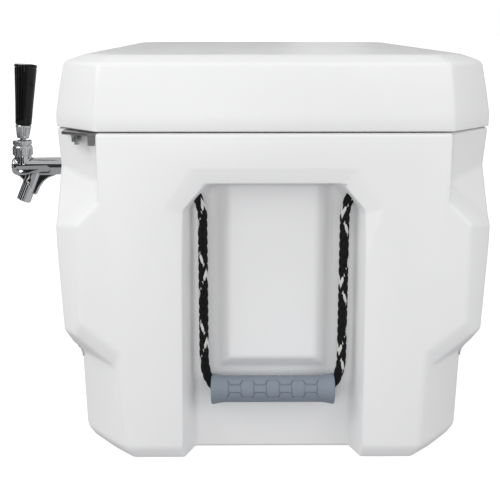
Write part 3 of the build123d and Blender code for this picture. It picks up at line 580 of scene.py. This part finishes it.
def braid(name, line, step):
    """A rope of sixteen flat strands, each over two and under two of those it crosses."""
    section = [(-1.0, 0.0), (-0.62, 0.85), (0.0, 1.0), (0.62, 0.85), (1.0, 0.0), (0.0, -0.8)]
    half_width, half_thick, middle, lift = 0.00166, 0.00060, 0.00410, 0.00052
    verts, faces, owner, lengthways = [], [], [], []
    frames = frames_along(line)
    for way in (1, -1):
        for strand in range(STRANDS_EACH_WAY):
            first = len(verts)
            for i, (place, side, other) in enumerate(frames):
                turn = way * i * step / BRAID_PITCH
                crossing = 2 * strand + way * 16 * i * step / BRAID_PITCH
                height = way * max(-1.0, min(1.0, 1.5 * math.sin(math.pi * crossing / 2)))
                for across, thick in section:
                    radius = middle + lift * height + half_thick * thick
                    angle = 2 * math.pi * (turn + strand / STRANDS_EACH_WAY) + across * half_width / middle
                    verts.append(place + radius * (math.cos(angle) * side + math.sin(angle) * other))
            n = len(section)
            for i in range(len(frames) - 1):
                for k in range(n):
                    a, b = first + i * n + k, first + i * n + (k + 1) % n
                    faces.append((a, b, b + n, a + n))
                    owner.append(1 if strand == 0 else 0)
                    lengthways.append((k, i * step))
            faces.append([first + k for k in range(n)][::-1])
            faces.append([first + (len(frames) - 1) * n + k for k in range(n)])
            owner += [0, 0]
            lengthways += [(0, 0), (0, 0)]
    mesh = bpy.data.meshes.new(name)
    mesh.from_pydata([tuple(v) for v in verts], [], faces)
    yarn = mesh.uv_layers.new(name="yarn")
    for face, white, (k, along) in zip(mesh.polygons, owner, lengthways):
        face.material_index = white
        for corner_index, loop in enumerate(face.loop_indices):
            across = k + (1 if corner_index in (1, 2) else 0)
            ahead = along + (step if corner_index in (2, 3) else 0)
            yarn.data[loop].uv = (across / 6, ahead / 0.003)
    piece = bpy.data.objects.new(name, mesh)
    bpy.context.scene.collection.objects.link(piece)
    take(piece)
    bpy.ops.object.mode_set(mode="EDIT")
    bpy.ops.mesh.select_all(action="SELECT")
    bpy.ops.mesh.normals_make_consistent(inside=False)
    bpy.ops.object.mode_set(mode="OBJECT")
    bpy.ops.object.shade_smooth()
    return piece


def polyester(name, colour, sheen):
    """Twisted filament yarn: fine slanting filaments with a soft sheen."""
    material = bpy.data.materials.new(name)
    material.use_nodes = True
    tree, links = material.node_tree, material.node_tree.links
    shader = tree.nodes["Principled BSDF"]
    shader.inputs["Sheen Weight"].default_value = sheen
    shader.inputs["Sheen Roughness"].default_value = 0.4
    shader.inputs["Specular IOR Level"].default_value = 0.2
    yarn = tree.nodes.new("ShaderNodeUVMap")
    yarn.uv_map = "yarn"
    slant = tree.nodes.new("ShaderNodeMapping")
    slant.inputs["Rotation"].default_value = (0, 0, 0.5)
    links.new(yarn.outputs["UV"], slant.inputs["Vector"])
    filaments = tree.nodes.new("ShaderNodeTexWave")
    filaments.inputs["Scale"].default_value = 5.0
    filaments.inputs["Distortion"].default_value = 2.5
    filaments.inputs["Detail"].default_value = 3.0
    links.new(slant.outputs["Vector"], filaments.inputs["Vector"])
    tint = tree.nodes.new("ShaderNodeValToRGB")
    tint.color_ramp.elements[0].color = (*[c * 0.55 for c in colour], 1)
    tint.color_ramp.elements[1].color = (*[min(1.0, c * 1.15) for c in colour], 1)
    links.new(filaments.outputs["Fac"], tint.inputs["Fac"])
    wear = tree.nodes.new("ShaderNodeMapRange")
    wear.inputs["To Min"].default_value, wear.inputs["To Max"].default_value = 0.5, 0.8
    links.new(filaments.outputs["Fac"], wear.inputs["Value"])
    bump = tree.nodes.new("ShaderNodeBump")
    bump.inputs["Strength"].default_value = 0.5
    bump.inputs["Distance"].default_value = 0.0002
    links.new(filaments.outputs["Fac"], bump.inputs["Height"])
    links.new(tint.outputs["Color"], shader.inputs["Base Color"])
    links.new(wear.outputs["Result"], shader.inputs["Roughness"])
    links.new(bump.outputs["Normal"], shader.inputs["Normal"])
    return material


black_yarn = polyester("black_yarn", (0.006, 0.006, 0.007), 0.04)
white_yarn = polyester("white_yarn", (0.80, 0.80, 0.78), 0.3)


def grip_relief(along, around):
    """How deep the tread is cut here: grooves that zigzag along the grip round long hexagons."""
    column, row = 0.0136, 0.01508
    place = along / column + 0.5
    index, share = math.floor(place), place - math.floor(place)
    nearest_side = min(share, 1 - share) * column
    level = 0.003 * min(1.0, nearest_side / 0.0017) * (-1 if index % 2 else 1)
    line = (around - 0.0100) / row
    depth = 0.0
    for number in (math.floor(line), math.floor(line) + 1):
        path = level if number % 2 else -level
        off = abs(around - 0.0100 - number * row - path)
        depth = max(depth, 1 - off / 0.0011)
        between = (number % 2 == 0) and 0 < around - 0.0100 - number * row < row
        if between and off > 0.002:
            depth = max(depth, 0.55 * (1 - nearest_side / 0.0009))
    fade = min(1.0, max(0.0, (0.0500 - abs(along)) / 0.0012))
    return 0.0013 * min(1.0, 1.5 * max(0.0, depth)) * fade


soft_grip = moulded_plastic("grip_rubber", (0.205, 0.240, 0.290), 0.50, grain=1400.0, relief=0.12, marks=0.06)
grip_rows, grip_sides = 208, 144
for end, sx in (("near", 1), ("far", -1)):
    rope_x = sx * (END_X - 0.0175)
    rope_points = [(-KNOT_Y, KNOT_Z), (-LEG_Y, PIVOT_Z), (-LEG_Y, 0.255), (-LEG_Y, 0.130), (-LEG_Y, 0.100),
                   (-0.064, GRIP_Z), (-0.040, GRIP_Z)]
    rope_points += [(-y, z) for y, z in rope_points[::-1]]
    rope_line = follow([(rope_x, y, z) for y, z in rope_points])
    rope_line, rope_length = evenly(rope_line, TWIST_STEP)
    rope = braid("rope_" + end, rope_line, TWIST_STEP)
    rope.data.materials.append(black_yarn)
    rope.data.materials.append(white_yarn)

    bpy.ops.object.select_all(action="DESELECT")
    bpy.ops.mesh.primitive_grid_add(x_subdivisions=grip_rows, y_subdivisions=grip_sides, size=2)
    grip = bpy.context.object
    grip.name = "grip_" + end
    for vertex in grip.data.vertices:
        along, angle = vertex.co.x * GRIP_HALF, vertex.co.y * math.pi
        flare = max(0.0, (abs(along) - 0.050) / (GRIP_HALF - 0.050))
        radius = 0.0144 + 0.0026 * flare ** 1.6 - grip_relief(along, angle * 0.0144)
        if abs(along) > GRIP_HALF - 0.0012:
            radius -= 0.0006
        vertex.co = (rope_x + radius * math.sin(angle) * sx, along, GRIP_Z + radius * math.cos(angle))
    take(grip)
    bpy.ops.object.mode_set(mode="EDIT")
    bpy.ops.mesh.select_all(action="SELECT")
    bpy.ops.mesh.remove_doubles(threshold=0.00005)
    bpy.ops.mesh.normals_make_consistent(inside=False)
    bpy.ops.object.mode_set(mode="OBJECT")
    finish_with(grip, "SOLIDIFY", thickness=0.0032, offset=-1)
    smooth(grip, 50)
    paint(grip, soft_grip)
    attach(grip, "handle_" + end)
    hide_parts("handle_grip_" + end)

    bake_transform(rope)
    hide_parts("handle_rope_" + end, "rope_anchors")

# ---- fittings through the front wall ---------------------------------------------------------
# A plated brass bulkhead shank with its flange, nuts and the slotted coupling nut that draws
# the tap up to it. The plating is bright chrome, worn a little where a spanner has gripped it.
chrome = metal("chrome_plate", (0.62, 0.63, 0.64), 0.07, brushing=(1.0, 1.0, 1.0), relief=0.02, scale=400.0)
for node, name in (("tap_flange", "tap_wall_flange"), ("tap_coupling_nut", "tap_slotted_nut"),
                   ("tap_shank", "tap_bulkhead_shank"), ("tap_beer_nut", "tap_inner_nut")):
    softened(node, name, "chest", chrome, width=0.0008, segments=3)

# ---- the tap's body --------------------------------------------------------------------------
# One polished chrome casting: a barrel with a rounded nose, an upright neck, and a spout that
# branches down and forward from a web, whose flat sides are sunk.
TAP_Z = (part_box("tap_flange")[0].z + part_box("tap_flange")[1].z) / 2
LEVER_Y = (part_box("tap_bonnet")[0].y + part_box("tap_bonnet")[1].y) / 2
SPOUT_TIP = Vector((0, -0.3374, 0.2228))
SPOUT_ROOT = Vector((0, -0.320, 0.263))


def flat_block(name, outline, thickness):
    """A block with this outline, seen along X, and the same thickness each side of the middle."""
    bpy.ops.object.select_all(action="DESELECT")
    bpy.ops.mesh.primitive_circle_add(vertices=len(outline), fill_type="NGON")
    piece = bpy.context.object
    piece.name = name
    for vertex, (y, z) in zip(piece.data.vertices, outline):
        vertex.co = (-thickness, y / 1000, z / 1000)
    bpy.ops.object.mode_set(mode="EDIT")
    bpy.ops.mesh.select_all(action="SELECT")
    bpy.ops.mesh.extrude_region_move(TRANSFORM_OT_translate={"value": (2 * thickness, 0, 0)})
    bpy.ops.mesh.select_all(action="SELECT")
    bpy.ops.mesh.normals_make_consistent(inside=False)
    bpy.ops.object.mode_set(mode="OBJECT")
    return piece


casting = round_bar("tap_casting", (0, -0.264, TAP_Z), (0, -0.3498, TAP_Z), 0.01175, 64)
pick_faces(casting, lambda at, facing_way: facing_way.y < -0.9)
bpy.ops.mesh.bevel(offset=0.0042, segments=5, affect="EDGES")
bpy.ops.object.mode_set(mode="OBJECT")
neck = round_bar("neck", (0, LEVER_Y, TAP_Z), (0, LEVER_Y, 0.2860), 0.0115, 64)
spout = round_bar("spout", SPOUT_ROOT, SPOUT_TIP, 0.0098, 64)
collar = round_bar("collar", (0, -0.2583, TAP_Z), (0, -0.2642, TAP_Z), 0.0147, 64)
web = flat_block("web", [(-289, 266), (-290, 258.5), (-300, 255), (-308, 249), (-314, 241), (-319, 231),
                         (-337, 237), (-334.5, 246), (-335.5, 252), (-340, 257), (-347, 260),
                         (-348, 268)], 0.0062)
carve(casting, neck, spout, collar, web, operation="UNION")
finish_with(casting, "REMESH", mode="VOXEL", voxel_size=0.00055)
finish_with(casting, "SMOOTH", factor=0.5, iterations=9)
for way in (-1, 1):
    sink = flat_block("sink", [(-342, 272), (-345, 267), (-339, 262.5), (-332, 256), (-328.5, 247),
                               (-325.5, 237), (-320, 235), (-315.5, 243), (-309, 251), (-301, 257.5),
                               (-296, 263.5), (-296, 270), (-301, 273)], 0.004)
    finish_with(sink, "BEVEL", width=0.0012, segments=2, limit_method="ANGLE", angle_limit=0.6)
    for vertex in sink.data.vertices:
        vertex.co.x += way * 0.0122
    carve(casting, sink)
spout_way = SPOUT_TIP - SPOUT_ROOT
carve(casting, round_bar("spout_bore", SPOUT_TIP + spout_way * 0.1, SPOUT_TIP - spout_way * 0.25, 0.0079, 48))
finish_with(casting, "DECIMATE", ratio=0.6)
smooth(casting, 45)
paint(casting, chrome)
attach(casting, "chest")
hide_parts("tap_body")

# ---- the bonnet, the lever's ferrule and the knob --------------------------------------------
# The two stepped rings of the bonnet are knurled by hand-tool flutes, as is the ferrule, all in
# chrome. The knob is glossy black phenolic, swelling upwards to a rim under its domed top.


def turned(name, rings, sides=72):
    """A piece turned on a lathe about Z, from its radius at each height, in millimetres."""
    bpy.ops.object.select_all(action="DESELECT")
    height, radius = rings[0]
    bpy.ops.mesh.primitive_circle_add(vertices=sides, radius=radius / 1000, fill_type="NGON",
                                      location=(0, 0, height / 1000))
    piece = settle(bpy.context.object)
    piece.name = name
    bpy.ops.object.mode_set(mode="EDIT")
    bpy.ops.mesh.select_all(action="SELECT")
    for (z0, r0), (z1, r1) in zip(rings, rings[1:]):
        bpy.ops.mesh.extrude_region_move(TRANSFORM_OT_translate={"value": (0, 0, (z1 - z0) / 1000)})
        bpy.ops.transform.resize(value=(r1 / r0, r1 / r0, 1), center_override=(0, 0, z1 / 1000))
    bpy.ops.mesh.select_all(action="SELECT")
    bpy.ops.mesh.normals_make_consistent(inside=False)
    bpy.ops.object.mode_set(mode="OBJECT")
    return piece


def flute(piece, low, high, flutes, depth):
    """Press upright flutes into a turned piece between two heights, in millimetres."""
    for vertex in piece.data.vertices:
        if low < vertex.co.z * 1000 < high:
            turn = math.atan2(vertex.co.y, vertex.co.x) * flutes
            share = 1 - depth * (0.5 - 0.5 * math.cos(turn))
            vertex.co.x, vertex.co.y = vertex.co.x * share, vertex.co.y * share


lever_foot = Vector((0, -0.3348, 0.296))
lean = Matrix.Rotation(math.radians(-5.3), 4, "X")


def on_lever(piece, body, node, material):
    """Stand a turned piece on the lever's leaning axis."""
    piece.data.transform(Matrix.Translation(lever_foot) @ lean)
    smooth(piece, 34)
    paint(piece, material)
    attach(piece, body)
    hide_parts(node)


bonnet_rings = [(-10, 12.6), (-9.4, 13.75), (-1, 13.75), (0.4, 13.4), (1.4, 12.9), (2.6, 12.3), (3.4, 11.3),
                (3.9, 11.3), (4.4, 12.4), (5.2, 12.8), (8.6, 12.8), (9.6, 12.3), (10, 11.6), (10, 6.9),
                (4, 7.6), (2, 7.6), (-8, 8.2)]
bonnet = turned("tap_bonnet_rings", bonnet_rings, 144)
flute(bonnet, -9.0, -0.5, 36, 0.045)
flute(bonnet, 5.0, 9.0, 36, 0.045)
bonnet.data.transform(Matrix.Translation(lever_foot))
smooth(bonnet, 40)
paint(bonnet, chrome)
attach(bonnet, "chest")
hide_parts("tap_bonnet")

ferrule_rings = [(13.3, 7.2), (13.9, 8.0), (16.0, 8.3), (17.0, 8.6), (28.0, 10.4), (29.0, 10.6), (30.4, 10.4),
                 (31.1, 9.8)]
ferrule = turned("fluted_ferrule", ferrule_rings, 120)
flute(ferrule, 16.5, 28.5, 20, 0.10)
on_lever(ferrule, "tap_lever", "lever_ferrule", chrome)

phenolic = moulded_plastic("black_phenolic", (0.004, 0.004, 0.004), 0.16, grain=300.0, relief=0.02,
                           marks=0.06)
phenolic.node_tree.nodes["Principled BSDF"].inputs["Specular IOR Level"].default_value = 0.3
knob_rings = [(31.3, 9.2), (31.9, 10.3), (33.2, 10.9), (40, 11.2), (60, 12.1), (85, 13.5), (104, 14.6),
              (107, 14.75), (108, 14.4), (109, 14.4), (109.8, 15.1), (111.6, 15.2), (112.7, 14.6),
              (113.0, 13.2), (113.0, 6.0)]
knob = turned("tap_knob_turned", knob_rings, 96)
on_lever(knob, "tap_lever", "tap_knob", phenolic)

# ---- beer hoses ------------------------------------------------------------------------------
# Two short lengths of clear-white food-grade hose inside the tub: from the inlet shank to the
# coil's top, and from the coil's bottom to the tap's shank, each held by band clamps.
HOSE_R = 0.0055
hose_vinyl = moulded_plastic("hose_vinyl", (0.76, 0.80, 0.78), 0.25, grain=500.0, relief=0.03)
coil_x = (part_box("coil_rack")[0].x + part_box("coil_rack")[1].x) / 2
outlet_x = coil_x + 0.084
outlet = [(outlet_x, -0.0005, 0.084), (outlet_x, -0.042, 0.083), (-0.066, -0.084, 0.112),
          (-0.044, -0.098, 0.180),
          (-0.014, -0.088, 0.244), (0, -0.100, TAP_Z), (0, -0.122, TAP_Z)]
inlet = [(0, 0.122, TAP_Z), (0, 0.098, TAP_Z), (-0.040, 0.080, 0.246), (-0.076, 0.068, 0.212),
         (outlet_x, 0.038, 0.1895), (outlet_x, 0.0005, 0.1875)]
for name, node, points in (("outlet_beer_hose", "outlet_hose", outlet),
                           ("inlet_beer_hose", "inlet_hose", inlet)):
    data = bpy.data.curves.new(name, "CURVE")
    data.dimensions, data.resolution_u, data.render_resolution_u = "3D", 16, 16
    data.bevel_depth, data.bevel_resolution, data.use_fill_caps = HOSE_R, 6, True
    spline = data.splines.new("NURBS")
    spline.points.add(len(points) - 1)
    for point, place in zip(spline.points, points):
        point.co = (*place, 1)
    spline.order_u, spline.use_endpoint_u = 3, True
    hose = bpy.data.objects.new(name, data)
    bpy.context.scene.collection.objects.link(hose)
    data.materials.append(hose_vinyl)
    _, hose_length = evenly(follow(points), 0.002)
    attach(hose, "chest")
    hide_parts(node)

# ---- the lid ---------------------------------------------------------------------------------
# A second hollow moulding with drawn-in, faceted shoulders, recessed for the latches at the
# front, with its own foam core. A flat panel with a shallow plug closes it from below.
TOP_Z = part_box("lid_shell")[1].z
lid = block("lid_moulding", (-END_X, -SIDE_Y, LID_EDGE), (END_X, SIDE_Y, TOP_Z))
for (in0, z0), (in1, z1) in (((0, 371), (4.3, 396)), ((4.3, 396), (9.8, 424)), ((9.8, 424), (32, 432))):
    rise, draw = z1 - z0, in1 - in0
    for way in (-1, 1):
        trim(lid, (0, way * (SIDE_Y - in0 / 1000), z0 / 1000), (0, way * rise, draw))
        trim(lid, (way * (END_X - in0 / 1000), 0, z0 / 1000), (way * rise, 0, draw))
    for sx, sy in ((-1, -1), (-1, 1), (1, -1), (1, 1)):
        trim(lid, corner(sx, sy, 0, 180 - 1.35 * in0, z0), facing(sx, sy, -0.668 * rise, 0.744 * rise, draw))
for sx, sy in ((-1, -1), (-1, 1), (1, -1), (1, 1)):
    trim(lid, corner(sx, sy, 0, 180, 0), facing(sx, sy, -0.668, 0.744, 0))
for side in (-1, 1):
    low, high = (side * 0.190 - 0.032, -0.240, 0.340), (side * 0.190 + 0.032, -SIDE_Y + 0.015, 0.403)
    carve(lid, block("lid_latch_recess", low, high))
clean(lid)
soften(lid, SOFT_EDGE, lambda at: 0.35 if at.z < LID_EDGE + 0.001 else 1.0, least=5)
pick_faces(lid, lambda at, facing_way: at.z < LID_EDGE + 0.0002 and facing_way.z < -0.99)
bpy.ops.mesh.inset(thickness=0.0012)
bpy.ops.mesh.delete(type="FACE")
bpy.ops.object.mode_set(mode="OBJECT")
finish_with(lid, "SOLIDIFY", thickness=WALL, offset=-1)
smooth(lid, 35)
paint(lid, white_plastic)
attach(lid, "lid")
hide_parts("lid_shell")
softened("lid_liner", "lid_inner_panel", "lid", liner_plastic, width=0.002, segments=3)

# ---- the studio ------------------------------------------------------------------------------
# A white seamless floor that throws no light up at the chest, under a sky that is pale above and
# greyer below. One large soft light stands high on the tap's side, with weaker ones in front and
# on the other side. Dark cards that only mirrors see give the chrome its contrast.
bpy.ops.object.select_all(action="DESELECT")
bpy.ops.mesh.primitive_plane_add(size=60)
floor = bpy.context.object
floor.name = "floor"
pale = bpy.data.materials.new("pale_floor")
pale.use_nodes = True
floor_shader = pale.node_tree.nodes["Principled BSDF"]
floor_shader.inputs["Base Color"].default_value = (0.94, 0.94, 0.94, 1)
floor_shader.inputs["Roughness"].default_value = 0.9
floor_shader.inputs["Emission Color"].default_value = (1, 1, 1, 1)
floor_shader.inputs["Emission Strength"].default_value = 0.5
paint(floor, pale)
floor.visible_diffuse = floor.visible_glossy = False


def softbox(name, place, size, watts):
    """A round soft light that faces the middle of the chest."""
    lamp = bpy.data.objects.new(name, bpy.data.lights.new(name, "AREA"))
    bpy.context.scene.collection.objects.link(lamp)
    lamp.data.shape, lamp.data.size, lamp.data.energy = "DISK", size, watts
    lamp.location = place
    lamp.rotation_euler = (Vector((0.2, 0, 0.2)) - Vector(place)).to_track_quat("-Z", "Y").to_euler()


def dark_card(name, place, turn, width, height):
    """A matt black card that shows only in reflections."""
    bpy.ops.mesh.primitive_plane_add(size=1, location=place, rotation=turn, scale=(width, height, 1))
    card = bpy.context.object
    card.name, card.scale = name, (width, height, 1)
    card.visible_camera = card.visible_diffuse = card.visible_shadow = False
    black = bpy.data.materials.new(name)
    black.use_nodes = True
    card_shader = black.node_tree.nodes["Principled BSDF"]
    card_shader.inputs["Base Color"].default_value = (0.01, 0.01, 0.01, 1)
    card_shader.inputs["Roughness"].default_value = 1.0
    paint(card, black)


softbox("key_light", (1.2, -2.0, 2.0), 1.6, 24)
softbox("front_light", (3.6, -0.7, 0.9), 1.8, 20)
softbox("side_light", (2.0, 2.2, 1.4), 1.6, 15)
for i in range(12):
    heading = math.radians(30 * i + 8)
    way = Vector((math.cos(heading), math.sin(heading), 0))
    card_at, card_turn = way * 2.3 + Vector((0, 0, 0.75)), way.to_track_quat("Z", "Y").to_euler()
    dark_card("dark_card_%d" % i, card_at, card_turn, 0.95, 1.9)

world = bpy.data.worlds.new("studio")
bpy.context.scene.world = world
world.use_nodes = True
sky, air = world.node_tree, world.node_tree.nodes["Background"]
compass = sky.nodes.new("ShaderNodeTexCoord")
height = sky.nodes.new("ShaderNodeSeparateXYZ")
sky.links.new(compass.outputs["Generated"], height.inputs["Vector"])
upward = sky.nodes.new("ShaderNodeMapRange")
upward.inputs["From Min"].default_value, upward.inputs["From Max"].default_value = -1.0, 1.0
sky.links.new(height.outputs["Z"], upward.inputs["Value"])
shade = sky.nodes.new("ShaderNodeValToRGB")
shade.color_ramp.elements[0].position, shade.color_ramp.elements[1].position = 0.44, 0.47
shade.color_ramp.elements[0].color, shade.color_ramp.elements[1].color = (0.42, 0.42, 0.43, 1), (1, 1, 1, 1)
for level, grey in ((0.53, 1.0), (0.58, 0.66)):
    shade.color_ramp.elements.new(level).color = (grey, grey, grey, 1)
sky.links.new(upward.outputs["Result"], shade.inputs["Fac"])
sky.links.new(shade.outputs["Color"], air.inputs["Color"])
air.inputs["Strength"].default_value = 1.0
bpy.context.scene.view_settings.view_transform = "Standard"

camera = bpy.data.objects.new("camera", bpy.data.cameras.new("camera"))
bpy.context.scene.collection.objects.link(camera)
bpy.context.scene.camera = camera
TILT, TURN = 13.47, 0.44          # degrees below level, and off the chest's long axis
camera.location = (END_X + 0.949, -0.0320, 0.463)
camera.rotation_euler = (math.radians(90 - TILT), 0, math.radians(90 - TURN))
camera.data.sensor_width, camera.data.lens = 36, 68.3
